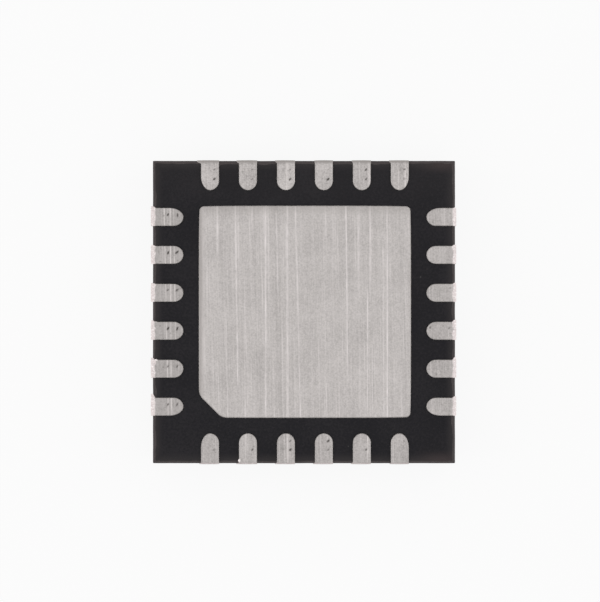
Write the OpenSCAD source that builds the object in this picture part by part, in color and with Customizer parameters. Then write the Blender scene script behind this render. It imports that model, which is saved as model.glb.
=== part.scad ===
// Quad flat no-lead chip: a square moulded body with lands along its four sides and a thermal pad.
// It lies on its flat top, lands up: z = 0 is the top face and the lands and the pad face +Z.
// Pin 1 is the land nearest the pad's chamfer, on the -X side, and the count runs clockwise seen from +Z.

/* [Leads] */
// Leads along each side
leads_per_side = 6; // [4:1:7]
// Spacing of neighbouring leads, centre to centre
lead_pitch = 0.5; // [0.4:0.05:0.8]
// Width of a lead
lead_w = 0.24; // [0.16:0.01:0.3]
// Length of a land, from the side of the body to its rounded tip
lead_l = 0.4; // [0.3:0.01:0.55]
// Length of the rounded part of a tip
tip_l = 0.13; // [0.08:0.01:0.25]
// Length of the rounded part on the side of an end lead that faces the body's corner
corner_tip_l = 0.19; // [0.1:0.01:0.27]
// How far a lead's etched finger runs on past its land, under the mould
finger_l = 0.04; // [0.02:0.01:0.06]
// Distance from the middle of an end lead to the next side of the body
corner_margin = 0.75; // [0.65:0.05:1]

/* [Thermal pad] */
// Gap between the tips of the lands and the pad
pad_gap = 0.2; // [0.15:0.01:0.4]
// Chamfer at the pad's pin 1 corner, along each side
pad_chamfer = 0.3; // [0.2:0.05:0.5]
// Radius where the chamfer runs into the pad's sides
chamfer_r = 0.17; // [0.02:0.01:0.25]
// Radius of the pad's other corners
pad_r = 0.06; // [0.02:0.01:0.1]
// How far the paddle's etched ledge runs out past the pad, under the mould
ledge_l = 0.06; // [0.02:0.01:0.08]
// Width of the tie bars that run from the paddle to the body's corners
tie_w = 0.16; // [0.1:0.01:0.2]

/* [Leadframe] */
// Thickness of the leadframe
frame_t = 0.2; // [0.15:0.01:0.25]
// Thickness left where it is etched
etch_t = 0.1; // [0.06:0.01:0.14]
// How far the lands and the pad stand out of the mould
standoff = 0.02; // [0.01:0.005:0.05]

/* [Die] */
// Distance from the die to the pad's edges along X
die_margin_x = 0.45; // [0.2:0.05:0.8]
// Distance from the die to the pad's edges along Y
die_margin_y = 0.55; // [0.2:0.05:0.8]
// Thickness of the die
die_t = 0.25; // [0.1:0.01:0.4]
// Thickness of the adhesive under the die
attach_t = 0.025; // [0.01:0.005:0.05]
// How far the adhesive spreads past the die
attach_l = 0.04; // [0.01:0.01:0.1]

/* [Bond wires] */
// Diameter of a wire
wire_d = 0.025; // [0.018:0.001:0.033]
// Height of a wire's loop over the die
loop_h = 0.13; // [0.1:0.01:0.2]
// Radius of the bend at the top of a loop, at the wire's middle
bend_r = 0.04; // [0.03:0.005:0.06]
// Diameter of the ball that starts a wire on the die
ball_d = 0.06; // [0.045:0.005:0.08]
// Diameter of the ball's two pressed faces
ball_face_d = 0.045; // [0.035:0.005:0.07]
// Height of the ball
ball_h = 0.02; // [0.01:0.005:0.03]
// Distance of the balls from the die's edges
bond_inset = 0.07; // [0.05:0.01:0.15]
// Distance of the end balls from the die's corners
bond_margin = 0.18; // [0.1:0.01:0.3]
// Length of the flat stitch that ends a wire on its lead
stitch_l = 0.06; // [0.04:0.005:0.08]
// Width of the stitch
stitch_w = 0.06; // [0.04:0.005:0.08]
// Width of the stitch at its toe
toe_w = 0.03; // [0.02:0.005:0.06]
// Thickness of the stitch
stitch_t = 0.008; // [0.005:0.001:0.012]
// Distance from the middle of a stitch to the tip of its finger
stitch_inset = 0.1; // [0.06:0.01:0.2]

/* [Mould] */
// Mould between the wire loops and the top face
cover_t = 0.145; // [0.08:0.005:0.4]
// Broken edge round the top and bottom of the sawn body
edge_break = 0.02; // [0.005:0.005:0.05]
// Diameter of the pin 1 dot in the top face
dot_d = 0.3; // [0.2:0.05:0.5]
// Depth of the dot
dot_depth = 0.015; // [0.005:0.005:0.03]
// Distance of the dot's middle from the body's sides
dot_inset = 0.5; // [0.35:0.05:1]

/* [Hidden] */
$fn = 48;
tip_steps = 8;
corner_steps = 5;
wire_sides = 8;
bend_steps = 4;
lead_count = 4 * leads_per_side;

body_w = (leads_per_side - 1) * lead_pitch + 2 * corner_margin;
pad_w = body_w - 2 * (lead_l + pad_gap);
die_w = pad_w - 2 * die_margin_x;
die_l = pad_w - 2 * die_margin_y;

// Heights over the top face, from the wire loops up to the lands
die_z = cover_t + loop_h;
attach_z = die_z + die_t;
frame_z = attach_z + attach_t;
land_z = frame_z + frame_t;
mould_h = land_z - standoff;

body_color = "#2a2a2c";
tin_color = "#b9b5b1";
die_color = "#566070";
adhesive_color = "#9c9c98";
gold_color = "#d8a83c";

// Place of a pin: its side, 0 to 3 from -X clockwise, and its place along that side from -1 to 1
function side_of(pin) = floor((pin - 1) / leads_per_side);
function step_of(pin) = (pin - 1) % leads_per_side;
function along(pin) = 2 * step_of(pin) / (leads_per_side - 1) - 1;
function lead_y(pin) = along(pin) * (leads_per_side - 1) * lead_pitch / 2;

// Sides 0 and 2 face the die's width and sides 1 and 3 its length
function die_across(pin) = side_of(pin) % 2 == 0 ? die_w : die_l;
function die_along(pin) = side_of(pin) % 2 == 0 ? die_l : die_w;

// Both ends of a wire, as seen with the pin's side turned to -X
function ball_at(pin) = [
    bond_inset - die_across(pin) / 2,
    along(pin) * (die_along(pin) / 2 - bond_margin)
];
function stitch_at(pin) = [
    lead_l + finger_l - stitch_inset - body_w / 2,
    lead_y(pin)
];

// Points of a round of radius r at the corner b, between the lines to a and c
function unit(v) = v / norm(v);
function corner_round(a, b, c, r) =
    let (
        to_a = unit(a - b),
        to_c = unit(c - b),
        half = acos(to_a * to_c) / 2,
        middle = b + unit(to_a + to_c) * r / sin(half),
        from = b + to_a * r / tan(half) - middle,
        turn = cross(to_a, to_c) > 0 ? half - 90 : 90 - half
    )
    [for (i = [0 : corner_steps])
        let (angle = 2 * turn * i / corner_steps)
        middle + [
            from.x * cos(angle) - from.y * sin(angle),
            from.x * sin(angle) + from.y * cos(angle)
        ]];
function rounded(points, radii) =
    let (n = len(points))
    [for (i = [0 : n - 1])
        each corner_round(points[(i + n - 1) % n], points[i], points[(i + 1) % n], radii[i])];

module turned_to(pin) {
    rotate(-90 * side_of(pin)) children();
}

// A lead's outline: straight from the body's side at x = 0, with a quarter ellipse on each side of its tip
module lead_outline(pin, length) {
    low_tip = step_of(pin) == 0 ? corner_tip_l : tip_l;
    high_tip = step_of(pin) == leads_per_side - 1 ? corner_tip_l : tip_l;
    low = [for (i = [0 : tip_steps])
        let (angle = 90 * i / tip_steps)
        [length - low_tip * (1 - sin(angle)), -lead_w / 2 * cos(angle)]];
    high = [for (i = [tip_steps - 1 : -1 : 0])
        let (angle = 90 * i / tip_steps)
        [length - high_tip * (1 - sin(angle)), lead_w / 2 * cos(angle)]];
    polygon(concat([[0, -lead_w / 2]], low, high, [[0, lead_w / 2]]));
}

// A lead: its land at full thickness, and a finger that is etched from below and runs on under the mould
module lead(pin) {
    color(tin_color)
    turned_to(pin)
    translate([-body_w / 2, lead_y(pin), frame_z]) {
        linear_extrude(frame_t) lead_outline(pin, lead_l);
        linear_extrude(etch_t) lead_outline(pin, lead_l + finger_l);
    }
}

// The pad's outline, grown by the given distance on every side, with the pin 1 corner chamfered
module pad_outline(grow) {
    half = pad_w / 2 + grow;
    cut = pad_chamfer + grow * (2 - sqrt(2));
    polygon(rounded([
        [cut - half, -half],
        [half, -half],
        [half, half],
        [-half, half],
        [-half, cut - half]
    ], [chamfer_r, pad_r, pad_r, pad_r, chamfer_r]));
}

module tie_bars() {
    intersection() {
        square(body_w, center = true);
        for (angle = [45, 135])
            rotate(angle) square([2 * body_w, tie_w], center = true);
    }
}

// The paddle: the pad at full thickness, with an etched ledge and tie bars under the mould
module die_paddle() {
    color(tin_color)
    translate([0, 0, frame_z]) {
        linear_extrude(frame_t) pad_outline(0);
        linear_extrude(etch_t) {
            pad_outline(ledge_l);
            tie_bars();
        }
    }
}

module die_attach() {
    color(adhesive_color)
    translate([-die_w / 2 - attach_l, -die_l / 2 - attach_l, attach_z])
    cube([die_w + 2 * attach_l, die_l + 2 * attach_l, attach_t]);
}

module die() {
    color(die_color)
    translate([-die_w / 2, -die_l / 2, die_z])
    cube([die_w, die_l, die_t]);
}

// Eight points round a wire at x, z in its own upright plane, with a flat side below
function wire_ring(x, z, tilt, half_h, half_w) =
    let (outer = 1 / cos(180 / wire_sides))
    [for (i = [0 : wire_sides - 1])
        let (
            angle = 360 * (i + 0.5) / wire_sides,
            rise = half_h * outer * cos(angle)
        )
        [x + rise * cos(tilt), half_w * outer * sin(angle), z + rise * sin(tilt)]];

// Rings of a wire over the given span along +X: up from a ball at the origin, over the bend,
// and straight down to a stitch that lies lower by the given drop
function wire_rings(span, drop) =
    let (
        r = wire_d / 2,
        face_r = ball_face_d / 2,
        bend = [bend_r, loop_h - r - bend_r],
        heel = [span - stitch_l / 2, r - drop],
        fall = heel - bend,
        leave = atan2(fall.y, fall.x) + acos(bend_r / norm(fall)),
        stitch_z = stitch_t / 2 - drop
    )
    concat(
        [
            wire_ring(0, 0, 180, face_r, face_r),
            wire_ring(0, ball_h / 2, 180, ball_d / 2, ball_d / 2),
            wire_ring(0, ball_h, 180, face_r, face_r),
            wire_ring(0, ball_h, 180, r, r)
        ],
        [for (i = [0 : bend_steps])
            let (angle = 180 + (leave - 180) * i / bend_steps)
            wire_ring(bend.x + bend_r * cos(angle), bend.y + bend_r * sin(angle), angle, r, r)],
        [
            wire_ring(heel.x, heel.y, (leave + 90) / 2, r, r),
            wire_ring(span, stitch_z, 90, stitch_t / 2, stitch_w / 2),
            wire_ring(span + stitch_l / 2, stitch_z, 90, stitch_t / 2, toe_w / 2)
        ]
    );

// A tube through the rings, which all have the same number of points, with flat ends
module tube(rings) {
    n = len(rings[0]);
    last = len(rings) - 1;
    polyhedron(
        points = [for (ring = rings) each ring],
        faces = concat(
            [[for (i = [n - 1 : -1 : 0]) i]],
            [for (k = [1 : last], i = [0 : n - 1])
                let (next = (i + 1) % n)
                each [
                    [(k - 1) * n + i, (k - 1) * n + next, k * n + i],
                    [k * n + i, (k - 1) * n + next, k * n + next]
                ]],
            [[for (i = [0 : n - 1]) last * n + i]]
        )
    );
}

module bond_wire(pin) {
    from = ball_at(pin);
    way = stitch_at(pin) - from;
    color(gold_color)
    turned_to(pin)
    translate([from.x, from.y, die_z])
    rotate(atan2(way.y, way.x))
    rotate([180, 0, 0])
    tube(wire_rings(norm(way), die_t + attach_t));
}

// A square bar along Y with its four long edges broken
module broken_bar() {
    half = body_w / 2;
    translate([0, half, 0])
    rotate([90, 0, 0])
    linear_extrude(body_w)
    polygon([
        [edge_break - half, 0],
        [half - edge_break, 0],
        [half, edge_break],
        [half, mould_h - edge_break],
        [half - edge_break, mould_h],
        [edge_break - half, mould_h],
        [-half, mould_h - edge_break],
        [-half, edge_break]
    ]);
}

module pin_one_dot() {
    at = dot_inset - body_w / 2;
    translate([at, at, -dot_depth]) cylinder(d = dot_d, h = 2 * dot_depth);
}

// The moulded body, which fills all the space round the leadframe, the die and the wires
module package_body() {
    color(body_color)
    difference() {
        intersection() {
            broken_bar();
            rotate(90) broken_bar();
        }
        pin_one_dot();
        die_paddle();
        die_attach();
        die();
        for (pin = [1 : lead_count]) {
            lead(pin);
            bond_wire(pin);
        }
    }
}

package_body();
die_paddle();
die_attach();
die();
for (pin = [1 : lead_count]) {
    lead(pin);
    bond_wire(pin);
}
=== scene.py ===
import math
from functools import partialmethod

import bmesh
import bpy
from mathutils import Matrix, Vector, noise


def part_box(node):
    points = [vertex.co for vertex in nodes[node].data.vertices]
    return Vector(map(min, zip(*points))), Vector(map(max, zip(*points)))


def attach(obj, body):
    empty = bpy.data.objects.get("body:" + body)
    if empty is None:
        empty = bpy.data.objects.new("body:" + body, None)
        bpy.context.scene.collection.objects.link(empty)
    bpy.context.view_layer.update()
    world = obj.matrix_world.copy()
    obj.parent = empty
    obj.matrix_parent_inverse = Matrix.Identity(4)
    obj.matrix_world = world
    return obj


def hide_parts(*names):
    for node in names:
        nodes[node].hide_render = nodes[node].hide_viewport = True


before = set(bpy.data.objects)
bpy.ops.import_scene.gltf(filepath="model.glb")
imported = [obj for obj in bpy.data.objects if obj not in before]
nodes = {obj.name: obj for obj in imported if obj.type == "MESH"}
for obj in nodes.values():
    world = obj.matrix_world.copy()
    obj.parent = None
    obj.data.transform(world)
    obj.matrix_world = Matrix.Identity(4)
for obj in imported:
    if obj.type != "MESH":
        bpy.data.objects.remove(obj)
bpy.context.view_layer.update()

mm = 0.001       # the frame is in metres
flush = 1e-7     # corners this near to each other lie on one line or face, metres
nearby = 1e-4    # the same in the shapes that are worked on in millimetres
scene = bpy.context.scene
leadsPerSide = sum(name.startswith("lead_") for name in nodes) // 4
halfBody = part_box("package_body")[1].x
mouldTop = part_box("package_body")[1].z


def landFace(name):  # the corners of a node's highest face
    corners = [v.co for v in nodes[name].data.vertices]
    top = max(c.z for c in corners)
    return [c for c in corners if c.z > top - flush]


def spread(points, axis):
    values = [p[axis] for p in points]
    return min(values), max(values)


def tipRound(name):  # length of the round on the low side of a lead of the first row
    face = landFace(name)
    low = spread(face, 1)[0]
    return spread(face, 0)[1] - max(c.x for c in face if c.y < low + flush)


leadLow, leadHigh = spread(landFace("lead_2"), 1)
leadPitch = leadLow - spread(landFace("lead_1"), 1)[0]
landStart, landTip = spread(landFace("lead_2"), 0)
leadHeights = sorted({round(v.co.z, 7) for v in nodes["lead_2"].data.vertices})
leadBase, etchedTop, landTop = leadHeights[0], leadHeights[1], leadHeights[-1]
padHalf = spread(landFace("die_paddle"), 0)[1]
print("frame loaded:", len(nodes), "nodes,", leadsPerSide, "leads to a side")


# A number that changes over a mesh or a surface, worked out by Math nodes in its tree
class Field:
    def __init__(self, tree, socket):
        self.tree = tree
        self.socket = socket

    def calc(self, operation, *others):
        node = self.tree.nodes.new("ShaderNodeMath")
        node.operation = operation
        for socket, value in zip(node.inputs, (self, *others)):
            feed(self.tree, socket, value)
        return Field(self.tree, node.outputs[0])

    __add__ = __radd__ = partialmethod(calc, "ADD")
    __sub__ = partialmethod(calc, "SUBTRACT")
    __mul__ = __rmul__ = partialmethod(calc, "MULTIPLY")
    __truediv__ = partialmethod(calc, "DIVIDE")
    __lt__ = partialmethod(calc, "LESS_THAN")
    __gt__ = partialmethod(calc, "GREATER_THAN")
    atMost = partialmethod(calc, "MINIMUM")
    atLeast = partialmethod(calc, "MAXIMUM")

    def __rsub__(self, other):
        return self.calc("MULTIPLY_ADD", -1.0, other)

    def ramp(self, low, high, start=0.0, end=1.0):
        node = self.tree.nodes.new("ShaderNodeMapRange")
        node.interpolation_type = "SMOOTHSTEP"
        for key, value in {"Value": self, 1: low, 2: high, 3: start, 4: end}.items():
            feed(self.tree, node.inputs[key], value)
        return Field(self.tree, node.outputs["Result"])


def feed(tree, socket, value):
    if isinstance(value, Field):
        value = value.socket
    if isinstance(value, bpy.types.NodeSocket):
        tree.links.new(value, socket)
    else:
        socket.default_value = value


def addNode(tree, kind, inputs=None, **settings):
    node = tree.nodes.new(kind)
    for key, value in settings.items():
        setattr(node, key, value)
    for key, value in (inputs or {}).items():
        feed(tree, node.inputs[key], value)
    return node


def field(node, output=0):
    return Field(node.id_data, node.outputs[output])


def vectorOf(tree, x, y, z):
    return addNode(tree, "ShaderNodeCombineXYZ", {"X": x, "Y": y, "Z": z}).outputs[0]


def partsOf(tree, vector):
    split = addNode(tree, "ShaderNodeSeparateXYZ", {0: vector})
    return [field(split, axis) for axis in "XYZ"]


def noiseField(tree, place, scale, detail=2.0, rough=0.5):
    settings = {"Vector": place, "Scale": scale, "Detail": detail, "Roughness": rough}
    return field(addNode(tree, "ShaderNodeTexNoise", settings), 0)


def hill(across, along):  # 1 in the middle, falling off to 0
    return (0.0 - across * across - along * along).calc("EXPONENT")


def mixColour(tree, share, first, second):
    inputs = {"Factor": share, 6: first, 7: second}  # 6 and 7 are the colours A and B
    return addNode(tree, "ShaderNodeMix", inputs, data_type="RGBA").outputs[2]


def layered(tree, colour, layers):  # from the bottom up: how much of a layer shows, its colour
    for share, above in layers:
        colour = mixColour(tree, share, colour, above)
    return colour


def startGroup(name, kind, inputs):
    tree = bpy.data.node_groups.new(name, kind)
    for label, socketType in inputs.items():
        tree.interface.new_socket(label, in_out="INPUT", socket_type="NodeSocket" + socketType)
    return tree, tree.nodes.new("NodeGroupInput")


def endGroup(tree, outputs, socketType="Float"):
    for label in outputs:
        tree.interface.new_socket(label, in_out="OUTPUT", socket_type="NodeSocket" + socketType)
    result = tree.nodes.new("NodeGroupOutput")
    for label, value in outputs.items():
        feed(tree, result.inputs[label], value)
    return tree


def startFinish(name, *numbers):  # a shader group that takes a place in mm and some numbers
    inputs = {"Place": "Vector", **dict.fromkeys(numbers, "Float")}
    tree, given = startGroup(name, "ShaderNodeTree", inputs)
    return tree, given.outputs["Place"], *[field(given, label) for label in numbers]


def useGroup(tree, group, place, inputs):
    return addNode(tree, "ShaderNodeGroup", {"Place": place, **inputs}, node_tree=group)


def rgb(*levels):  # a colour as an eye-dropper reads it, 0 to 255
    shares = [level / 255 for level in levels]
    return (*[s / 12.92 if s <= 0.04045 else ((s + 0.055) / 1.055) ** 2.4 for s in shares], 1.0)


# Finishes that several materials share

def makeFineGrain():
    tree, place, perMm, contrast = startFinish("fineGrain", "Per Millimetre", "Contrast")
    fine = noiseField(tree, place, perMm, 3.0, 0.65)
    cloud = noiseField(tree, place, perMm * 0.06, 2.0, 0.5)  # much wider patches
    return endGroup(tree, {
        "Grain": (fine - 0.5) * contrast + 0.5,
        "Cloud": (cloud - 0.5) * contrast + 0.5,
    })


def makeSparseSpecks():
    tree, place, perMm, widest, share = startFinish("sparseSpecks", "Per Millimetre", "Radius", "Share")
    cells = addNode(tree, "ShaderNodeTexVoronoi", {"Vector": place, "Scale": perMm})
    draw, size = partsOf(tree, cells.outputs["Color"])[:2]
    radius = widest * (size * 0.9 + 0.40)
    dot = 1.0 - field(cells, "Distance").ramp(radius * 0.5, radius)
    return endGroup(tree, {"Speck": dot * (draw < share)})


def makeSawLines():  # the level lines that a saw leaves on an upright side
    tree, place, along, down = startFinish("sawLines", "Along", "Down")
    x, y, z = partsOf(tree, place)
    spot = vectorOf(tree, x * along, y * along, z * down)
    return endGroup(tree, {"Drag": noiseField(tree, spot, 1.0, 3.0, 0.6)})


# Lines that rolling left in the copper strip, along Y: x at y = 2 and at y = -2, y from and to,
# half width in mm, strength
rollingLines = [
    (-1.867, -1.786, 2.0, -2.0, 0.014, 0.62),
    (-1.777, -1.754, 2.0, -2.0, 0.014, 0.75),
    (-1.741, -1.675, 2.0, -0.6, 0.012, 0.72),
    (-1.341, -1.341, 1.5, -1.0, 0.030, 0.36),
    (-1.154, -1.147, 1.5, 0.80, 0.020, 0.75),
    (-1.070, -1.006, 0.0, -1.5, 0.013, 0.60),
    (-0.924, -0.870, 1.5, -0.95, 0.015, 0.85),
    (-0.796, -0.786, 0.4, -2.0, 0.011, 0.50),
    (-0.697, -0.692, 1.5, 1.10, 0.015, 0.85),
    (-0.517, -0.517, 1.5, -2.0, 0.017, 0.80),
    (-0.493, -0.459, 1.5, 0.10, 0.010, 0.40),
    (-0.234, -0.225, 2.0, -2.0, 0.025, 0.62),
    (-0.142, -0.043, 2.0, -1.45, 0.013, 0.70),
    (0.532, 0.577, 1.5, -0.85, 0.015, 1.00),
    (0.705, 0.710, 1.5, 0.20, 0.028, 0.45),
    (0.829, 0.822, 0.2, -1.30, 0.013, 0.85),
    (0.826, 0.826, -1.55, -2.0, 0.013, 0.75),
    (0.846, 0.846, 2.0, 1.55, 0.013, 0.90),
    (0.856, 0.860, 1.5, 0.30, 0.011, 0.75),
    (0.886, 0.889, -0.4, -1.35, 0.011, 0.50),
    (1.023, 1.044, 0.9, -1.5, 0.013, 0.65),
    (1.083, 1.085, 1.5, -1.5, 0.014, 1.00),
    (1.236, 1.236, 2.0, 1.55, 0.010, 0.55),
    (1.320, 1.320, 2.0, 1.55, 0.012, 0.80),
]
lineSpan = 4.0   # from y = 2 to y = -2
lineFade = 0.15  # a line fades out over this much on both sides of its end, mm

# Wider duller stretches between them: x, half width in mm, strength
dullBands = [
    (-1.030, 0.110, 0.09),
    (-0.620, 0.070, 0.07),
    (-0.360, 0.065, 0.13),
    (0.095, 0.080, 0.04),
    (0.620, 0.050, 0.05),
    (1.128, 0.028, 0.08),
    (1.285, 0.060, 0.06),
]

# Finer streaks from noise: how many to a mm across and along the strip, seed, detail
strandNoise = {
    "broken": (14.0, 1.5, 0.0, 2.0),  # where a line fades
    "gaps": (38.0, 7.0, 5.0, 1.0),
    "wide": (16.0, 0.30, 3.0, 2.0),
    "thin": (44.0, 0.55, 7.0, 1.0),
    "hair": (95.0, 1.6, 11.0, 1.0),
    "dash": (52.0, 12.0, 17.0, 2.0),
}


def makeRolledStreaks():
    tree, place, lean = startFinish("rolledStreaks", "Lean")
    x, y = partsOf(tree, place)[:2]
    across = x + y * lean
    strands = {}
    for name, (perMmAcross, perMmAlong, seed, detail) in strandNoise.items():
        spot = vectorOf(tree, across * perMmAcross, y * perMmAlong, seed)
        strands[name] = noiseField(tree, spot, 1.0, detail)
    wide, thin = strands["wide"], strands["thin"]
    broken, gaps = strands["broken"], strands["gaps"]
    streak = wide.ramp(0.56, 0.76) * 0.18 + thin.ramp(0.56, 0.76) * 0.50
    streak = streak * broken.ramp(0.38, 0.60) * gaps.ramp(0.25, 0.62, 0.35, 1.0)
    weight = broken.ramp(0.30, 0.66, 0.50, 1.00) * gaps.ramp(0.30, 0.66, 0.46, 1.12)
    for xHigh, xLow, yFrom, yTo, halfWidth, strength in rollingLines:
        slope = (xHigh - xLow) / lineSpan
        away = (x - y * slope - (xHigh + xLow) / 2).calc("ABSOLUTE")
        line = 1.0 - away.ramp(halfWidth * 0.15, halfWidth)
        begun = 1.0 - y.ramp(yFrom - lineFade, yFrom + lineFade)
        ends = y.ramp(yTo - lineFade, yTo + lineFade) * begun
        streak = streak.atLeast(line * ends * weight * strength)
    dullAndShadedTin = wide.ramp(0.30, 0.70) * 0.04
    for middle, halfWidth, strength in dullBands:
        away = (across - middle).calc("ABSOLUTE")
        dullAndShadedTin = dullAndShadedTin + (1.0 - away.ramp(halfWidth * 0.3, halfWidth)) * strength
    fine = strands["hair"] * 0.5 + thin * 0.5
    return endGroup(tree, {
        "Streak": streak.atMost(1.0), "Dull": dullAndShadedTin,
        "Fine": (fine - 0.5) * 1.8 + 0.5, "Dash": strands["dash"],
    })


fineGrain = makeFineGrain()
sparseSpecks = makeSparseSpecks()
sawLines = makeSawLines()
rolledStreaks = makeRolledStreaks()
print("shared finishes made")


# How far in from the CAD's sides the saw went through, mm
sawnIn = {"left": -0.006, "upper": 0.008, "right": 0.018, "lower": 0.001}


def sawnSides():  # x of the left and right side, y of the lower and upper side, mm
    half = halfBody / mm
    acrossX = (sawnIn["left"] - half, half - sawnIn["right"])
    acrossY = (sawnIn["lower"] - half, half - sawnIn["upper"])
    return acrossX, acrossY


def inFromSaw(point):  # how far a point is in from the nearest sawn side, mm
    (left, right), (lower, upper) = sawnSides()
    x, y = point.x / mm, point.y / mm
    return min(x - left, right - x, y - lower, upper - y)


# Materials

def startMaterial(name, **sockets):
    material = bpy.data.materials.new(name)
    material.use_nodes = True
    tree = material.node_tree
    shader = tree.nodes["Principled BSDF"]
    for label, value in sockets.items():
        shader.inputs[label].default_value = value
    spot = addNode(tree, "ShaderNodeTexCoord").outputs["Object"]
    place = addNode(tree, "ShaderNodeVectorMath", {0: spot}, operation="SCALE")
    place.inputs["Scale"].default_value = 1 / mm
    return material, tree, shader, place.outputs[0]


def marked(tree, name):  # what the mesh stores under this name
    return field(addNode(tree, "ShaderNodeAttribute", attribute_name=name), "Fac")


def endMaterial(tree, shader, colour, rough, height, depth):
    bump = addNode(tree, "ShaderNodeBump", {"Height": height, "Distance": depth, "Strength": 1.0})
    feed(tree, shader.inputs["Base Color"], colour)
    feed(tree, shader.inputs["Roughness"], rough)
    feed(tree, shader.inputs["Normal"], bump.outputs["Normal"])


tinLook = {
    "plain": rgb(198, 193, 191),
    "shade": rgb(153, 149, 147),
    "streak": rgb(210, 204, 203),
    # painted shade on the rounded edges of the pad and the leads
    "rim": rgb(146, 141, 138),
    "smear": rgb(194, 185, 184),    # tin dragged over a sawn end
    "paintedBurrHighlight": rgb(222, 217, 216),     # painted highlights in spots on it
    "dullAndShadedTin": rgb(160, 155, 152),     # painted shade: the same tin, turned away from the light
    "curlAndGlint": rgb(228, 221, 219),     # a painted glint on a small curl of it at the side of a few leads
    "copper": rgb(172, 115, 92),
    "freshCopper": rgb(197, 150, 131),
    # painted shade in the hollows of the probe dents, and the colour of the small stains
    "dent": rgb(84, 80, 78),
    "grain": {"Per Millimetre": 54.0, "Contrast": 2.0},
    "stains": {"Per Millimetre": 22.0, "Radius": 0.34, "Share": 0.14},
    "saw": {"Along": 3.0, "Down": 75.0},
    "spotsPerMm": 48.0,
    "grainShows": 0.92,             # how much the grain, the short dashes and the fine lines show
    "dashesShow": 0.40,
    "fineLinesShow": 0.40,
    "bump": 1.5e-6,
    "lean": 0.022,
    "streakShare": 1.0,
    "stained": 0.0,                 # how much the small dark stains show
    "paintedRimShade": 0.42,
    "paintedUpperShade": 0.42,             # the darker stretches next to two of the pad's sides, painted shade
    "upperReach": 0.17,             # mm
    "paintedLeftShade": 0.64,
    "leftReach": 0.10,
}
leadLook = {
    **tinLook,
    "plain": rgb(199, 194, 192),
    "shade": rgb(137, 133, 131),
    "streak": rgb(210, 204, 202),
    "streakShare": 1.05,
    "stained": 0.30,
    "paintedUpperShade": 0.0,
    "paintedLeftShade": 0.0,
}


def makeTin(name, look):
    material, tree, shader, place = startMaterial(name, Metallic=1.0)
    x, y = partsOf(tree, place)[:2]
    half = padHalf / mm
    grains = useGroup(tree, fineGrain, place, look["grain"])
    rolled = useGroup(tree, rolledStreaks, place, {"Lean": look["lean"]})
    stains = useGroup(tree, sparseSpecks, place, look["stains"])
    drag = field(useGroup(tree, sawLines, place, look["saw"]), "Drag")
    grain, streak, fine = field(grains, "Grain"), field(rolled, "Streak"), field(rolled, "Fine")
    burr, cut = marked(tree, "burr"), marked(tree, "cut")
    tone = (grain - 0.5) * look["grainShows"] + (field(grains, "Cloud") - 0.5) * 0.25
    tone = tone + (field(rolled, "Dash") - 0.5) * look["dashesShow"] - field(rolled, "Dull")
    tone = tone + (fine - 0.5) * look["fineLinesShow"] + 0.5
    # painted shade along the pad's upper and left sides
    nearUpper = y.ramp(half - look["upperReach"], half) * look["paintedUpperShade"]
    nearLeft = (0.0 - x).ramp(half - look["leftReach"], half) * look["paintedLeftShade"]
    rim = marked(tree, "rim").ramp(0.0, 0.8) * look["paintedRimShade"]
    # painted highlights in spots on the burr's smear
    spots = noiseField(tree, place, look["spotsPerMm"], 2.0, 0.6)
    smear = mixColour(tree, spots.ramp(0.46, 0.72) * 0.85, look["smear"], look["paintedBurrHighlight"])
    fresh = mixColour(tree, drag.ramp(0.35, 0.70), look["copper"], look["freshCopper"])
    colour = layered(tree, look["shade"], [
        (tone.ramp(-0.35, 1.15), look["plain"]),
        (marked(tree, "tone"), look["shade"]),
        (streak * look["streakShare"], look["streak"]),
        (field(stains, "Speck") * look["stained"], look["dent"]),
        # painted shade on the rounded edges and along two of the pad's sides
        (rim.atLeast(nearUpper).atLeast(nearLeft), look["rim"]),
        (burr.ramp(0.05, 0.25), smear),
        # painted shade on burrs turned away from the light
        (marked(tree, "dullAndShadedTin").ramp(0.05, 0.5), look["dullAndShadedTin"]),
        # a painted glint on the curls of tin
        (marked(tree, "curlAndGlint").ramp(0.15, 0.60), look["curlAndGlint"]),
        (cut, fresh),
        # painted shade in the dents' hollows
        (marked(tree, "dent").ramp(0.12, 0.70), look["dent"]),
    ])
    rough = 0.46 + grain * 0.16 - streak * 0.08 - burr * 0.10
    height = grain * 0.8 + streak * 0.5 + fine * 0.4 + cut * drag * 1.2
    endMaterial(tree, shader, colour, rough, height, look["bump"])
    return material


mouldLook = {
    "plain": rgb(21, 20, 24),
    "pale": rgb(38, 36, 39),
    "paintedLightTint": rgb(50, 47, 48),     # painted light: a paler tint next to a worn edge and along the upper lands
    "cornerTint": rgb(66, 57, 57),     # paler, at two corners of the right side
    "broken": rgb(76, 70, 70),    # the worn edge itself, lighter: partly its wear, partly a painted highlight where it catches light
    "sawn": rgb(46, 44, 44),
    "filler": rgb(128, 124, 120),
    "grain": {"Per Millimetre": 30.0, "Contrast": 1.9},
    "specks": {"Per Millimetre": 62.0, "Radius": 0.50, "Share": 0.34},
    "dust": {"Per Millimetre": 21.0, "Radius": 0.26, "Share": 0.10},
    "saw": {"Along": 2.0, "Down": 70.0},
    "patchesPerMm": 1.4,
    "bump": 2.6e-6,
    "strip": 0.15,                # how far the painted edge highlight reaches in from a sawn side, mm
    "paintedUpperLight": 0.22,           # painted light: the mould paler along the upper row of lands
}


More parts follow.
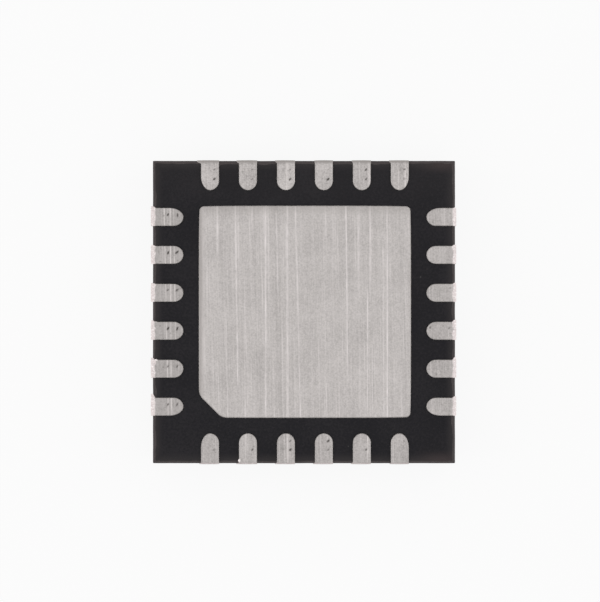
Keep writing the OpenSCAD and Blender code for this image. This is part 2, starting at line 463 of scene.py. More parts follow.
def makeMould(look):
    material, tree, shader, place = startMaterial("blackEpoxy", **{"Specular IOR Level": 0.17})
    x, y = partsOf(tree, place)[:2]
    (left, right), (lower, upper) = sawnSides()
    grains = useGroup(tree, fineGrain, place, look["grain"])
    specks = useGroup(tree, sparseSpecks, place, look["specks"])
    dust = useGroup(tree, sparseSpecks, place, look["dust"])
    drag = field(useGroup(tree, sawLines, place, look["saw"]), "Drag")
    grain = field(grains, "Grain")
    sawn, broken = marked(tree, "sawn"), marked(tree, "broken")
    patch = noiseField(tree, place, look["patchesPerMm"], 3.0)
    tone = grain * 0.7 + field(grains, "Cloud") * 0.3
    inward = (x - left).atMost(right - x).atMost(y - lower).atMost(upper - y) + (grain - 0.5) * 0.03
    # painted highlight: paler near the sawn sides
    strip = (1.0 - inward.ramp(0.02, look["strip"])) * patch.ramp(0.25, 0.60, 0.75, 1.0)
    cornerTint = x.ramp(right - 0.60, right - 0.12) * y.calc("ABSOLUTE").ramp(upper - 0.20, upper - 0.02)
    # painted light: paler towards the upper side
    paintedTopLight = y.ramp(upper - 0.75, upper - 0.25) * patch.ramp(0.25, 0.60, 0.6, 1.0)
    filler = field(specks, "Speck") * (sawn * 0.26 + broken * 0.18 + 0.02)
    lint = field(dust, "Speck") * patch.ramp(0.56, 0.68) * 0.30
    colour = layered(tree, look["plain"], [
        (tone.ramp(0.30, 0.76), look["pale"]),
        (paintedTopLight * look["paintedUpperLight"], look["paintedLightTint"]),
        (strip, look["paintedLightTint"]),
        (cornerTint * patch.ramp(0.30, 0.60, 0.45, 0.85), look["cornerTint"]),
        # the worn edge, lighter: partly wear, partly painted highlight
        (broken * patch.ramp(0.25, 0.60, 0.65, 1.0), look["broken"]),
        (sawn * drag.ramp(0.35, 0.70), look["sawn"]),
        (filler, look["filler"]),
        (lint, look["filler"]),
    ])
    rough = 0.56 + grain * 0.22 + sawn * 0.10
    endMaterial(tree, shader, colour, rough, grain + sawn * drag * 1.6 - filler * 1.5, look["bump"])
    return material


siliconLook = {
    "oxide": rgb(70, 78, 92),
    "block": rgb(104, 98, 112),
    "metal": rgb(168, 164, 160),
    "edge": rgb(58, 60, 64),
    "blocksPerMm": 3.2,
    "tracksPerMm": 24.0,
    "circuit": (0.004, 0.010),  # from its face on, the circuit ends between these depths, mm
    "grain": {"Per Millimetre": 80.0, "Contrast": 1.4},
    "bump": 0.5e-6,
}


def makeSilicon(look):
    material, tree, shader, place = startMaterial("siliconDie", Metallic=0.35)
    x, y, z = partsOf(tree, place)
    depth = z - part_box("die")[0].z / mm
    face = 1.0 - depth.ramp(*look["circuit"])
    flat = vectorOf(tree, x, y, 0.0)
    blocks = addNode(tree, "ShaderNodeTexVoronoi", {
        "Vector": flat, "Scale": look["blocksPerMm"],
    }, distance="CHEBYCHEV")
    tracks = addNode(tree, "ShaderNodeTexBrick", {
        "Vector": flat, "Scale": look["tracksPerMm"], "Color1": look["oxide"], "Color2": look["block"],
        "Mortar": look["metal"], "Mortar Size": 0.05, "Bias": -0.2,
    })
    grain = field(useGroup(tree, fineGrain, place, look["grain"]), "Grain")
    tint = partsOf(tree, blocks.outputs["Color"])[0]
    circuit = layered(tree, look["oxide"], [
        (tint.ramp(0.3, 0.7), look["block"]),
        (tint.ramp(0.2, 0.9) * 0.8, tracks.outputs["Color"]),
    ])
    colour = mixColour(tree, face, look["edge"], circuit)
    rough = 0.42 - face * 0.22 + grain * 0.12
    endMaterial(tree, shader, colour, rough, grain + field(tracks, "Fac") * face, look["bump"])
    return material


adhesiveLook = {
    "resin": rgb(120, 118, 114),
    "flake": rgb(196, 194, 190),
    "flakesPerMm": 60.0,
    "grain": {"Per Millimetre": 30.0, "Contrast": 1.8},
    "bump": 1.5e-6,
}


def makeAdhesive(look):
    material, tree, shader, place = startMaterial("silverAdhesive", Metallic=0.6)
    flakes = addNode(tree, "ShaderNodeTexVoronoi", {"Vector": place, "Scale": look["flakesPerMm"]})
    grain = field(useGroup(tree, fineGrain, place, look["grain"]), "Grain")
    tone = partsOf(tree, flakes.outputs["Color"])[1] * 0.6 + grain * 0.4
    colour = mixColour(tree, tone.ramp(0.15, 0.85), look["resin"], look["flake"])
    endMaterial(tree, shader, colour, 0.35 + tone * 0.35, tone, look["bump"])
    return material


goldLook = {
    "deep": rgb(206, 158, 62),
    "bright": rgb(240, 200, 104),
    "grain": {"Per Millimetre": 140.0, "Contrast": 1.5},
    "bump": 0.4e-6,
}


def makeGold(look):
    material, tree, shader, place = startMaterial("drawnGold", Metallic=1.0)
    grains = useGroup(tree, fineGrain, place, look["grain"])
    grain = field(grains, "Grain")
    tone = grain * 0.7 + field(grains, "Cloud") * 0.3
    colour = mixColour(tree, tone.ramp(0.25, 0.75), look["deep"], look["bright"])
    endMaterial(tree, shader, colour, 0.18 + grain * 0.16, grain, look["bump"])
    return material


padTin = makeTin("padTin", tinLook)
leadTin = makeTin("leadTin", leadLook)
blackEpoxy = makeMould(mouldLook)
siliconDie = makeSilicon(siliconLook)
silverAdhesive = makeAdhesive(adhesiveLook)
drawnGold = makeGold(goldLook)
print("materials made")


def addObject(name, data):
    made = bpy.data.objects.new(name, data)
    scene.collection.objects.link(made)
    return made


def newPiece(name, mesh, material, slot, *replaced):
    mesh.materials.clear()
    mesh.materials.append(material)
    piece = addObject(name, mesh)
    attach(piece, "root")
    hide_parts(*replaced)
    return piece


def plainMesh(carrier):  # what the carrier's modifiers make, and the carrier goes
    seen = carrier.evaluated_get(bpy.context.evaluated_depsgraph_get())
    mesh = bpy.data.meshes.new_from_object(seen)
    carrier.modifiers.clear()
    bpy.data.objects.remove(carrier)
    return mesh


def closedCopy(nodeName):  # a CAD node's shape in millimetres, with its loose triangles joined
    shape = bmesh.new()
    shape.from_mesh(nodes[nodeName].data)
    bmesh.ops.scale(shape, vec=(1 / mm,) * 3, verts=shape.verts)
    bmesh.ops.remove_doubles(shape, verts=shape.verts, dist=1e-5)
    return shape


def meshFrom(shape, name, scale=1.0):
    bmesh.ops.scale(shape, vec=(scale,) * 3, verts=shape.verts)
    mesh = bpy.data.meshes.new(name)
    shape.to_mesh(mesh)
    shape.free()
    return mesh


def storeOnFaces(mesh, marks):
    for name, values in marks.items():
        mesh.attributes.new(name, "FLOAT", "FACE").data.foreach_set("value", values)


# The thermal pad with its ledge and tie bars: the paddle's own shape, with the rounded edge of
# a plated land

padShape = {
    "edgeRound": 0.016,  # mm
    "edgeSteps": 4,
    "edgeCuts": 30,
    "longSide": 0.3,     # sides longer than this are cut, mm
    "barOut": 0.002,     # how far the sawn ends of the tie bars stand out of the mould, mm
    "pull": 0.010,       # how far the etched sides draw in near the corners, mm
    "joinAngle": 0.2,    # faces that differ by less are one, degrees
    "sharpAngle": 40.0,
    "flat": 0.9999,      # faces more level than this aren't smoothed
}


def drawInSides(shape, height, share):  # the etched sides of the pad draw in near its corners
    inPad = padHalf / mm + nearby

    def onRim(vert):
        inside = max(abs(vert.co.x), abs(vert.co.y)) < inPad
        return inside and abs(vert.co.z - height) < nearby

    def rim():
        return [e for e in shape.edges if all(onRim(v) for v in e.verts)]

    atSides = [e for e in rim() if len({f.normal.z > 0.5 for f in e.link_faces}) == 2]
    straight = [e for e in atSides if e.calc_length() > padShape["longSide"]]
    bmesh.ops.subdivide_edges(shape, edges=straight, cuts=padShape["edgeCuts"])
    for vert in {v for e in rim() for v in e.verts}:
        x, y = vert.co.x * mm / padHalf, vert.co.y * mm / padHalf
        vert.co.x -= share * padShape["pull"] * math.copysign(abs(x) ** 9 * abs(y) ** 5, x)
        vert.co.y -= share * padShape["pull"] * math.copysign(abs(y) ** 9 * abs(x) ** 5, y)
    return rim()


def sawTieBars(shape):  # the saw goes through the tie bars where it goes through the mould
    (left, right), (lower, upper) = sawnSides()
    out = padShape["barOut"]
    edge = halfBody / mm - nearby
    for vert in shape.verts:
        x, y = vert.co.x, vert.co.y
        atX, atY = abs(x) > edge, abs(y) > edge
        moveX = (right + out if x > 0 else left - out) - x if atX else 0.0
        moveY = (upper + out if y > 0 else lower - out) - y if atY else 0.0
        slant = math.copysign(1, x * y)  # a bar runs out to its corner at 45 degrees
        vert.co.x += moveX if atX else moveY * slant
        vert.co.y += moveY if atY else moveX * slant


def makePadPiece():
    shape = closedCopy("die_paddle")
    bmesh.ops.dissolve_limit(
        shape, angle_limit=math.radians(padShape["joinAngle"]), verts=shape.verts, edges=shape.edges,
    )
    rim = drawInSides(shape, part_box("die_paddle")[1].z / mm, 1.0)
    sawTieBars(shape)
    bmesh.ops.bevel(
        shape, geom=rim, offset=padShape["edgeRound"], offset_type="OFFSET",
        segments=padShape["edgeSteps"], profile=0.5, affect="EDGES", clamp_overlap=True,
    )
    mesh = meshFrom(shape, "thermalPad", mm)
    mesh.shade_smooth()
    mesh.set_sharp_from_angle(angle=math.radians(padShape["sharpAngle"]))
    rimLow = landTop - padShape["edgeRound"] * mm
    cut, rounded = [], []
    for face in mesh.polygons:
        face.use_smooth = abs(face.normal.z) < padShape["flat"]
        cut.append(float(inFromSaw(face.center) < 0.0))
        rounded.append(float(face.center.z > rimLow and face.use_smooth))
    storeOnFaces(mesh, {"cut": cut, "rim": rounded})
    return mesh


padPiece = newPiece("thermalPad", makePadPiece(), padTin, "tin", "die_paddle")
print("thermal pad made:", len(padPiece.data.polygons), "faces")


# The moulded body: a slab with sawn sides and worn edges, cut out by the CAD body's own pockets

mouldShape = {
    "stepsPerSide": 150,
    "cornerRound": 0.014,      # upright corners, mm, as every length here
    "cornerSteps": 4,
    "wear": {(1, 0): 0.038, (-1, 0): 0.036, (0, 1): 0.042, (0, -1): 0.032},  # edges at the lands
    "lowWear": 0.026,          # edges at the flat top
    "leastWear": 0.021,
    "wander": 0.30,            # how much a worn edge varies along its length
    "chip": 0.030,             # depth of the largest chips
    "breakUp": 0.10,           # how rough a worn edge is, as a share of its width
    "edgeSteps": 5,
    "wallSteps": 6,
    "sawRipple": 0.0012,
    "skin": 0.0008,            # how far the slab's flat faces stay inside the CAD body
    "inner": 0.12,             # the flat faces begin this far in from the sides
    "margin": 0.03,            # how far the pockets are drawn out past the slab
    "barZone": 0.30,           # the tie bars leave the mould this near to its corners
    "sawnReach": 0.004,        # faces this near to the saw's path are sawn
    "wornReach": 0.10,         # sloping ones this near to it are worn
}


def mouldOutline():  # a round of points on the sawn sides, from the upper right corner on
    (left, right), (lower, upper) = sawnSides()
    bend, steps = mouldShape["cornerRound"], mouldShape["cornerSteps"]
    sideSteps = mouldShape["stepsPerSide"]
    quarter = math.radians(90)
    corners = [(right, upper), (left, upper), (left, lower), (right, lower)]
    centres = [Vector((x - math.copysign(bend, x), y - math.copysign(bend, y), 0)) for x, y in corners]

    def arm(angle):
        return bend * Vector((math.cos(angle), math.sin(angle), 0.0))

    points = []
    for number, centre in enumerate(centres):
        turn = quarter * number
        goal = centres[(number + 1) % 4]
        points += [centre + arm(turn + quarter * step / steps) for step in range(steps)]
        side = [centre.lerp(goal, step / sideSteps) for step in range(sideSteps)]
        points += [p + arm(turn + quarter) for p in side]
    return points


def wornEdge(point, base, seed):  # how wide the edge has worn at this point
    spot = Vector((point.x, point.y, seed))
    wander = noise.noise(spot * 3.1) + 0.8 * noise.noise(spot * 12.7)
    chip = max(0.0, noise.noise(spot * 5.3 + Vector((9, 4, 0))) - 0.30) * mouldShape["chip"]
    chip += max(0.0, noise.noise(spot * 17.0) - 0.35) * mouldShape["chip"] * 0.8
    return max(mouldShape["leastWear"], base * (1 + mouldShape["wander"] * wander)) + chip


def landWear(point):  # the sides' own wear, blended at the corners
    total = weight = 0.0
    for (towardsX, towardsY), width in mouldShape["wear"].items():
        facing = max(0.0, point.x * towardsX + point.y * towardsY) / (halfBody / mm)
        total += width * facing ** 40
        weight += facing ** 40
    return total / weight


def makeMouldSlab():
    outline = mouldOutline()
    count = len(outline)
    (left, right), (lower, upper) = sawnSides()
    middle = Vector(((left + right) / 2, (lower + upper) / 2, 0.0))
    halfX, halfY = (right - left) / 2, (upper - lower) / 2
    low, high = mouldShape["skin"], mouldTop / mm - mouldShape["skin"]
    lowWear = [wornEdge(p, mouldShape["lowWear"], 5.0) for p in outline]
    highWear = [wornEdge(p, landWear(p), 1.0) for p in outline]
    edgeSteps, wallSteps = mouldShape["edgeSteps"], mouldShape["wallSteps"]
    rings = []

    def addRing(insets, heights):
        rings.append([
            Vector((
                middle.x + (p.x - middle.x) * (1 - inset / halfX),
                middle.y + (p.y - middle.y) * (1 - inset / halfY),
                height,
            ))
            for p, inset, height in zip(outline, insets, heights)
        ])

    addRing([mouldShape["inner"]] * count, [low] * count)
    for step in range(edgeSteps + 1):
        angle = math.radians(90) * step / edgeSteps
        addRing([w * (1 - math.sin(angle)) for w in lowWear],
                [low + w * (1 - math.cos(angle)) for w in lowWear])
    for step in range(1, wallSteps):
        share = step / wallSteps
        shift = Vector((0, 0, 9 * share))
        ripple = [mouldShape["sawRipple"] * abs(noise.noise(p * 2.3 + shift)) for p in outline]
        addRing(ripple, [low + a + (high - b - low - a) * share for a, b in zip(lowWear, highWear)])
    for step in range(edgeSteps + 1):
        angle = math.radians(90) * (1 - step / edgeSteps)
        shift = Vector((step, 0, 0))
        depth = [mouldShape["breakUp"] * noise.noise(p * 21.0 + shift) for p in outline]
        rough = [max(0.0, d * math.sin(2 * angle)) for d in depth]
        addRing([w * (1 - math.sin(angle) + r) for w, r in zip(highWear, rough)],
                [high - w * (1 - math.cos(angle) + r) for w, r in zip(highWear, rough)])
    addRing([mouldShape["inner"]] * count, [high] * count)

    slab = bmesh.new()
    grid = [[slab.verts.new(p) for p in ring] for ring in rings]
    for below, above in zip(grid, grid[1:]):
        for i in range(count):
            j = (i + 1) % count
            slab.faces.new((below[i], below[j], above[j], above[i]))
    slab.faces.new(list(reversed(grid[0])))
    slab.faces.new(grid[-1])
    bmesh.ops.recalc_face_normals(slab, faces=slab.faces)
    return slab


def makeMouldPockets():  # the CAD body, with its sides moved out of the way of the slab's sawn ones
    pockets = closedCopy("package_body")
    drawInSides(pockets, mouldTop / mm, (mouldTop - etchedTop) / (landTop - etchedTop))
    half = halfBody / mm
    for vert in pockets.verts:
        atRim = [abs(vert.co[axis]) > half - mouldShape["margin"] for axis in (0, 1)]
        atBar = any(atRim) and min(abs(vert.co.x), abs(vert.co.y)) > half - mouldShape["barZone"]
        for axis in (0, 1):
            if atRim[axis] or atBar:  # a tie bar's pocket is drawn out along the bar
                vert.co[axis] += math.copysign(mouldShape["margin"], vert.co[axis])
    return pockets


def makeMouldPiece():
    carrier = addObject("mouldSlab", meshFrom(makeMouldSlab(), "mouldSlab"))
    cutter = addObject("mouldPockets", meshFrom(makeMouldPockets(), "mouldPockets"))
    modifier = carrier.modifiers.new("pockets", "BOOLEAN")
    modifier.operation = "INTERSECT"
    modifier.solver = "EXACT"
    modifier.object = cutter
    cut = plainMesh(carrier)
    bpy.data.objects.remove(cutter)
    shape = bmesh.new()
    shape.from_mesh(cut)
    bmesh.ops.remove_doubles(shape, verts=shape.verts, dist=nearby)
    manySided = [f for f in shape.faces if len(f.verts) > 4]
    bmesh.ops.triangulate(shape, faces=manySided, quad_method="BEAUTY", ngon_method="BEAUTY")
    openEdges = sum(not edge.is_manifold for edge in shape.edges)
    print("mould cut:", len(shape.faces), "faces,", openEdges, "open edges")
    return meshFrom(shape, "mould", mm)


def markMould(mesh):  # where the saw went, and where an edge has worn or broken
    sawn, broken = [], []
    for face in mesh.polygons:
        inward, slope = inFromSaw(face.center), abs(face.normal.z)
        atSide = inward < mouldShape["sawnReach"]
        atEdge = inward < mouldShape["wornReach"] and 0.12 < slope < 0.995
        sawn.append(float(atSide and slope < 0.30))
        broken.append(float(atEdge and not atSide))
    storeOnFaces(mesh, {"sawn": sawn, "broken": broken})


mouldMesh = makeMouldPiece()
markMould(mouldMesh)
newPiece("mould", mouldMesh, blackEpoxy, "mould", "package_body")
print("mould made")


# The leads, one row to a side, by a Geometry Nodes tree

leadShape = {
    "rowsAlong": 57,
    "rowsAcross": 33,
    "lengths": {              # by the tree's inputs, mm, as every length here
        "Edge Round": 0.012,
        "Bow": 0.004,         # how far a sawn end bows out
        "Dent Depth": 0.012,
        "Dent Long": 0.026,
        "Dent Wide": 0.015,
        "Curl Depth": 0.040,  # how far in from the sawn end a curl of tin with a painted glint stands
        "Curl Size": 0.022,
    },
    "bowReach": 0.06,         # how far in from the sawn end its bow is felt
    "burrDrop": 0.030,        # how far a burr of the full length or more bends down
    "fullBurr": 0.04,
    "dentShift": (0.02, 0.03),  # how much the dents' places vary along and across a lead
    "dentTwist": 2.4,         # and their direction, radians
    "sharpAngle": 50.0,       # degrees
    "seed": 17,
    # How far the ends stand out of the mould, their burr and flare, how far the burr is lit rather than
    # in painted shade, how much darker the lands are, and the dents: in from the sawn end, across the
    # lead, slant from +X, how much longer the far one is
    "sides": {
        "left": {
            "out": 0.012, "lip": 0.012, "burr": 0.068, "shine": 1.0, "flareSide": 1, "tone": 0.34,
            "near": 0.197, "far": 0.318, "along": 0.030, "slant": 58.0, "farStretch": 1.35,
        },
        "upper": {
            "out": 0.002, "lip": 0.002, "burr": 0.046, "shine": 0.25, "flareSide": -1, "tone": 0.0,
            "near": 0.126, "far": 0.252, "along": 0.057, "slant": 34.0, "farStretch": 1.0,
        },
        "right": {
            "out": 0.007, "lip": 0.006, "burr": 0.056, "shine": 1.0, "flareSide": -1, "tone": 0.18,
            "near": 0.105, "far": 0.350, "along": -0.040, "slant": 58.0, "farStretch": 1.0,
        },
        "lower": {
            "out": 0.003, "lip": 0.005, "burr": 0.024, "shine": 0.75, "flareSide": 1, "tone": 0.12,
            "near": 0.184, "far": 0.300, "along": -0.059, "slant": 50.0, "farStretch": 1.15,
        },
    },
    "eachLead": {  # the strength of the two dents, the flare in mm and the curl with its painted glint, from pin to pin
        "left": {
            "nearDent": (0.60, 0.55, 0.90, 0.55, 0.85, 0.75),
            "farDent": (0.60, 0.55, 0.75, 0.62, 0.78, 0.65),
            "flare": (0.050, 0.026, 0.020, 0.008, 0.012, 0.022),
            "curlAndGlint": (0.0, 0.8, 0.4, 0.0, 0.0, 0.0),
        },
        "upper": {
            "nearDent": (0.50, 0.45, 0.45, 0.38, 0.70, 0.55),
            "farDent": (0.75, 0.45, 0.72, 0.85, 0.62, 0.42),
            "flare": (0.052, 0.030, 0.024, 0.004, 0.012, 0.020),
            "curlAndGlint": (0.0, 0.0, 0.0, 0.0, 0.0, 0.0),
        },
        "right": {
            "nearDent": (0.05, 0.00, 0.15, 0.50, 0.25, 0.05),
            "farDent": (0.05, 0.10, 0.15, 0.50, 0.10, 0.05),
            "flare": (0.004, 0.014, 0.014, 0.026, 0.034, 0.016),
            "curlAndGlint": (0.0, 0.0, 0.0, 0.0, 0.0, 0.0),
        },
        "lower": {
            "nearDent": (0.15, 0.62, 0.55, 0.78, 0.62, 0.50),
            "farDent": (0.40, 0.15, 0.75, 0.55, 0.30, 0.25),
            "flare": (0.014, 0.024, 0.024, 0.026, 0.036, 0.020),
            "curlAndGlint": (0.0, 0.0, 0.0, 0.0, 1.0, 0.0),
        },
    },
}

def leadValues(number, sideName):
    side = leadShape["sides"][sideName]
    return {
        "Leads": leadsPerSide,
        "Pitch": leadPitch,
        "Reach": halfBody,
        "Turn": -math.radians(90) * number,
        "Width": leadHigh - leadLow,
        "Length": landTip - landStart,
        "Base": leadBase,
        "Etched Top": etchedTop,
        "Top": landTop,
        "Tip Length": tipRound("lead_2"),
        "Corner Tip": tipRound("lead_1"),
        "Finger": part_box("lead_2")[1].x - landTip,
        **{name: length * mm for name, length in leadShape["lengths"].items()},
        "Push Out": (side["out"] - sawnIn[sideName]) * mm,
        "Lip": side["lip"] * mm,
        "Tone": side["tone"],
        "Burr Length": side["burr"] * mm,
        "Burr Drop": leadShape["burrDrop"] * mm * min(1.0, side["burr"] / leadShape["fullBurr"]),
        "Burr Shine": side["shine"],
        "Flare Side": float(side["flareSide"]),
        "Dent Near": side["near"] * mm,
        "Dent Far": side["far"] * mm,
        "Dent Along": side["along"] * mm,
        "Dent Turn": math.radians(side["slant"] + 90 * number),
        "Far Stretch": side["farStretch"],
        "Seed": leadShape["seed"] + 5 * number,
        "Material": leadTin,
    }


socketTypes = {int: "Int", float: "Float", bpy.types.Material: "Material"}


def through(tree, kind, geometry, inputs=None, **settings):  # the geometry behind one more node
    every = {0: geometry, **(inputs or {})}
    return addNode(tree, "GeometryNode" + kind, every, **settings).outputs[0]


def keepMarks(tree, geometry, marks, **settings):
    for name, value in marks.items():
        mark = {"Name": name, "Value": value}
        geometry = through(tree, "StoreNamedAttribute", geometry, mark, **settings)
    return geometry


def stored(tree, name):
    return field(addNode(tree, "GeometryNodeInputNamedAttribute", {"Name": name}, data_type="FLOAT"))


def makeLeadBlock(tree):  # closed, of four levels in plain counts: base, etched top twice, land
    sheet = addNode(tree, "GeometryNodeMeshGrid", {
        "Size X": 1.0, "Size Y": 2.0,
        "Vertices X": leadShape["rowsAlong"], "Vertices Y": leadShape["rowsAcross"],
    })
    block, chosen = sheet.outputs["Mesh"], True
    for step in range(3):
        raised = addNode(tree, "GeometryNodeExtrudeMesh", {
            "Mesh": block, "Selection": chosen, "Offset Scale": 1.0, "Individual": False,
        }, mode="FACES")
        block, chosen = raised.outputs["Mesh"], raised.outputs["Top"]
    both = addNode(tree, "GeometryNodeJoinGeometry")
    feed(tree, both.inputs[0], block)
    feed(tree, both.inputs[0], through(tree, "FlipFaces", sheet.outputs["Mesh"]))
    closed = through(tree, "MergeByDistance", both.outputs[0], {"Distance": 0.001})
    x, y, z = partsOf(tree, addNode(tree, "GeometryNodeInputPosition").outputs[0])
    return keepMarks(tree, closed, {"endToTip": x + 0.5, "sideToSide": y, "level": z})


def makeLeadTree(values):  # with an input for each of a row's values
    inputs = {name: socketTypes[type(value)] for name, value in values.items()}
    tree, given = startGroup("leadRow", "GeometryNodeTree", {"Spots": "Geometry", **inputs})
    size = {name: field(given, name) for name in inputs}

    # One block for each lead of the row, which takes what its spot stores
    row = through(tree, "InstanceOnPoints", given.outputs["Spots"], {"Instance": makeLeadBlock(tree)})
    index = field(addNode(tree, "GeometryNodeInputIndex"))
    real = through(tree, "RealizeInstances", keepMarks(tree, row, {"step": index}, domain="INSTANCE"))

    # The outline: straight from the sawn end, then a quarter ellipse on each side of the tip,
    # with the block's rows closer together at the ends and the sides
    s, t, height, step = [stored(tree, name) for name in ("endToTip", "sideToSide", "level", "step")]
    u = s * 0.5 + (1.0 - (s * math.pi).calc("COSINE")) * 0.25
    v = t * 0.45 + (t * math.pi * 0.5).calc("SINE") * 0.55
    onLand = height > 2.5
    isFirst = step < 0.5
    isLast = step > size["Leads"] - 1.5
    atCorner = isFirst * (v < 0.0) + isLast * (v > 0.0)
    tip = size["Tip Length"] + (size["Corner Tip"] - size["Tip Length"]) * atCorner
    straight = size["Length"] - tip
    x = u * (straight + tip * (1.0 - v * v).atLeast(0.0).calc("SQRT"))
    atFinger = (s > 0.999) * (t * t < 0.998) * (height < 1.5)  # the etched end, under the mould
    x = x + size["Finger"] * atFinger
    y = v * size["Width"] * 0.5
    z = size["Base"] + (size["Etched Top"] - size["Base"]) * (height > 0.5)
    z = z + (size["Top"] - size["Etched Top"]) * onLand

    # The rounded edge of the land
    past = ((x - straight) / tip).atLeast(0.0)
    inside = (1.0 - (past * past + v * v).calc("SQRT")) * size["Width"] * 0.5
    over = (1.0 - inside / size["Edge Round"]).atLeast(0.0).atMost(1.0)
    drop = size["Edge Round"] * (1.0 - (1.0 - over * over).atLeast(0.0).calc("SQRT"))

    # The sawn end: a dragged facet, bowed out, with a flare on one side
    ripple = noiseField(tree, vectorOf(tree, v * 1.7, step * 5.3, size["Seed"]), 1.0, 2.0)
    bowed = size["Push Out"] + size["Bow"] * (1.0 - v * v) * ripple + size["Lip"] * onLand
    x = x - bowed * (1.0 - x / (leadShape["bowReach"] * mm)).atLeast(0.0)
    burrLength = size["Burr Length"] * (ripple * 1.1 + 0.45)
    burr = (1.0 - (x + bowed) / burrLength).atLeast(0.0).atMost(1.0) * onLand
    drop = drop.atLeast(size["Burr Drop"] * burr * (ripple * 0.6 + 0.7))
    towards = (v * size["Flare Side"]).ramp(-0.2, 1.0)
    y = y + size["Flare Side"] * stored(tree, "flare") * mm * burr.ramp(0.05, 0.65) * towards

    # A curl of tin on the flared side, painted bright in the tin as a glint
    curlX = (x - size["Curl Depth"]) / size["Curl Size"]
    curlY = (v * size["Flare Side"] - 1.0) * size["Width"] * 0.5 / size["Curl Size"]
    curlAndGlint = hill(curlX, curlY) * stored(tree, "curlAndGlint") * onLand
    y = y + size["Flare Side"] * size["Curl Size"] * curlAndGlint * 0.6

    # Two probe dents
    dents = []
    shiftX, shiftY = leadShape["dentShift"]
    farLong = size["Dent Long"] * size["Far Stretch"]
    for number, (depthIn, strength, dentLong) in enumerate([
        ("Dent Near", "nearDent", size["Dent Long"]), ("Dent Far", "farDent", farLong),
    ]):
        seed = vectorOf(tree, step * 2.9, number * 8.0, size["Seed"])
        jitter = noiseField(tree, seed, 1.0, 0.0) - 0.5
        alongX = x - size[depthIn] - jitter * (shiftX * mm)
        alongY = y - size["Dent Along"] + jitter * (shiftY * mm)
        angle = size["Dent Turn"] + jitter * leadShape["dentTwist"]
        cosine, sine = angle.calc("COSINE"), angle.calc("SINE")
        longWay = (alongX * cosine + alongY * sine) / dentLong
        wideWay = (alongY * cosine - alongX * sine) / size["Dent Wide"]
        dents.append(hill(longWay, wideWay) * stored(tree, strength))
    dent = dents[0] + dents[1]
    drop = drop + dent * size["Dent Depth"]

    along = y + (step - (size["Leads"] - 1.0) * 0.5) * size["Pitch"]
    turned = addNode(tree, "ShaderNodeVectorRotate", {
        "Vector": vectorOf(tree, x - size["Reach"], along, z - drop * onLand), "Angle": size["Turn"],
    }, rotation_type="Z_AXIS")
    # a burr's tin shows lit as far as its row's shine goes, the rest in painted shade
    shine = size["Burr Shine"]
    made = keepMarks(tree, real, {
        "burr": burr * shine, "dullAndShadedTin": burr * (1.0 - shine), "rim": over * onLand, "curlAndGlint": curlAndGlint,
        "dent": dent * onLand, "cut": (s < 0.001) * (height < 2.5), "tone": size["Tone"],
    })
    placed = through(tree, "SetPosition", made, {"Position": turned.outputs[0]})
    merged = through(tree, "MergeByDistance", placed, {"Distance": 1e-8})
    again = through(tree, "RealizeInstances", merged)
    finished = through(tree, "SetMaterial", again, {"Material": size["Material"]})
    return endGroup(tree, {"Leads": finished}, "Geometry")


def makeLeadRow(tree, number, sideName, values):
    spots = bpy.data.meshes.new("leadSpots")
    spots.from_pydata([(0.0, 0.0, 0.0)] * leadsPerSide, [], [])
    for name, strengths in leadShape["eachLead"][sideName].items():
        spots.attributes.new(name, "FLOAT", "POINT").data.foreach_set("value", strengths)
    carrier = addObject("leadSpots", spots)
    modifier = carrier.modifiers.new("leads", "NODES")
    modifier.node_group = tree
    for item in tree.interface.items_tree:
        if item.in_out == "INPUT" and item.name in values:
            modifier[item.identifier] = values[item.name]
    mesh = plainMesh(carrier)
    mesh.shade_smooth()
    mesh.set_sharp_from_angle(angle=math.radians(leadShape["sharpAngle"]))
    first = number * leadsPerSide + 1
    replaced = [f"lead_{pin}" for pin in range(first, first + leadsPerSide)]
    return newPiece(f"leads_{sideName}", mesh, leadTin, "tin", *replaced)


rowValues = {name: leadValues(number, name) for number, name in enumerate(leadShape["sides"])}
leadTree = makeLeadTree(rowValues["left"])
for number, (sideName, values) in enumerate(rowValues.items()):
    leadPiece = makeLeadRow(leadTree, number, sideName, values)
    print("leads made:", leadPiece.name, len(leadPiece.data.polygons), "faces")


# What stays as the CAD has it, under the mould

insideFinish = {"die": siliconDie, "die_attach": silverAdhesive}
for name, node in nodes.items():
    finish = drawnGold if name.startswith("bond_wire_") else insideFinish.get(name)
    if finish:
        node.data.materials.clear()
        node.data.materials.append(finish)
print("die, adhesive and wires dressed")


# Floor, light and camera

stageLook = {
    "white": (0.985, 0.985, 0.985, 1.0),
    "floorHalf": 0.6,             # metres
    "floorShare": 0.91,           # how much of the floor's white is its own near the chip
    "floorFade": (0.008, 0.060),  # from and to where the rest goes, metres
    "ambient": 0.62,
    "overhead": {"power": 0.010, "size": 0.10, "height": 0.11},
    "sideBoxes": {"power": 0.010, "size": (0.05, 0.08), "away": 0.07, "elevation": 24.0},
}


def cameraSees(tree):  # camera, glossy and transmission rays see the plain white
    path = addNode(tree, "ShaderNodeLightPath")
    seen = field(path, "Is Camera Ray").atLeast(field(path, "Is Glossy Ray"))
    return seen.atLeast(field(path, "Is Transmission Ray"))


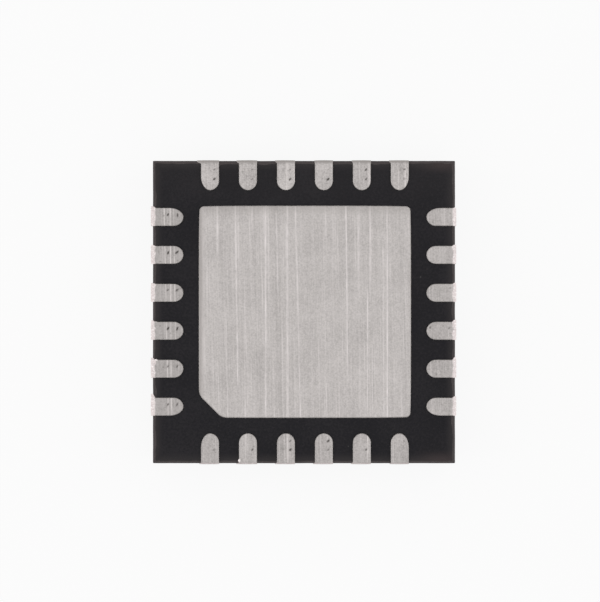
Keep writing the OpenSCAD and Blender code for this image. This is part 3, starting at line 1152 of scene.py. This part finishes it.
def makeFloor():
    half = stageLook["floorHalf"]
    corners = [(-half, -half, 0), (half, -half, 0), (half, half, 0), (-half, half, 0)]
    mesh = bpy.data.meshes.new("floor")
    mesh.from_pydata(corners, [], [(0, 1, 2, 3)])
    material = bpy.data.materials.new("paleFloor")
    material.use_nodes = True
    tree = material.node_tree
    tree.nodes.remove(tree.nodes["Principled BSDF"])
    matte = addNode(tree, "ShaderNodeBsdfDiffuse", {"Color": stageLook["white"]})
    glow = addNode(tree, "ShaderNodeEmission", {"Color": stageLook["white"], "Strength": 1.0})
    spot = addNode(tree, "ShaderNodeTexCoord").outputs["Object"]
    away = addNode(tree, "ShaderNodeVectorMath", {0: spot}, operation="LENGTH")
    share = field(away, "Value").ramp(*stageLook["floorFade"], stageLook["floorShare"], 1.0)
    blend = addNode(tree, "ShaderNodeMixShader", {
        0: cameraSees(tree) * share, 1: matte.outputs[0], 2: glow.outputs[0],
    })
    feed(tree, tree.nodes["Material Output"].inputs["Surface"], blend.outputs[0])
    mesh.materials.append(material)
    addObject("floor", mesh)


def makeWorld():
    world = bpy.data.worlds.new("studio")
    world.use_nodes = True
    scene.world = world
    tree = world.node_tree
    sky = tree.nodes["Background"]
    sky.inputs["Color"].default_value = (1.0, 1.0, 1.0, 1.0)
    ambient, white = stageLook["ambient"], stageLook["white"][0]
    feed(tree, sky.inputs["Strength"], cameraSees(tree) * (white - ambient) + ambient)


def addSoftbox(name, power, width, depth, place):
    data = bpy.data.lights.new(name, "AREA")
    data.shape = "RECTANGLE"
    data.energy = power
    data.size = width
    data.size_y = depth
    lamp = addObject(name, data)
    lamp.location = place
    lamp.rotation_euler = Vector(place).to_track_quat("Z", "Y").to_euler()
    lamp.visible_camera = False


def makeLights():
    over = stageLook["overhead"]
    addSoftbox("overhead", over["power"], over["size"], over["size"], (0.0, 0.0, over["height"]))
    box = stageLook["sideBoxes"]
    rise = math.radians(box["elevation"])
    for name, sign in {"leftBox": -1, "rightBox": 1}.items():
        place = (sign * box["away"] * math.cos(rise), 0.0, box["away"] * math.sin(rise))
        addSoftbox(name, box["power"], *box["size"], place)


cameraView = {
    "lens": 100.0,
    "sensor": 36.0,
    "clip": (0.0005, 5.0),          # metres
    "imageSize": (600, 602),
    "chipCentre": (304.9, 311.8),   # pixels of the photograph
    "pitchPixels": 37.97,           # from lead to lead there
}


def makeCamera():
    data = bpy.data.cameras.new("camera")
    data.lens = cameraView["lens"]
    data.sensor_width = cameraView["sensor"]
    data.clip_start, data.clip_end = cameraView["clip"]
    camera = addObject("camera", data)
    wide, high = cameraView["imageSize"]
    centreX, centreY = cameraView["chipCentre"]
    perMetre = cameraView["pitchPixels"] / leadPitch
    distance = max(wide, high) * data.lens / (data.sensor_width * perMetre)
    offX, offY = (wide / 2 - centreX) / perMetre, (centreY - high / 2) / perMetre
    camera.location = (offX, offY, landTop + distance)
    scene.camera = camera


makeFloor()
makeWorld()
makeLights()
makeCamera()
scene.view_settings.view_transform = "Standard"
print("stage, lights and camera made")

bpy.context.view_layer.update()
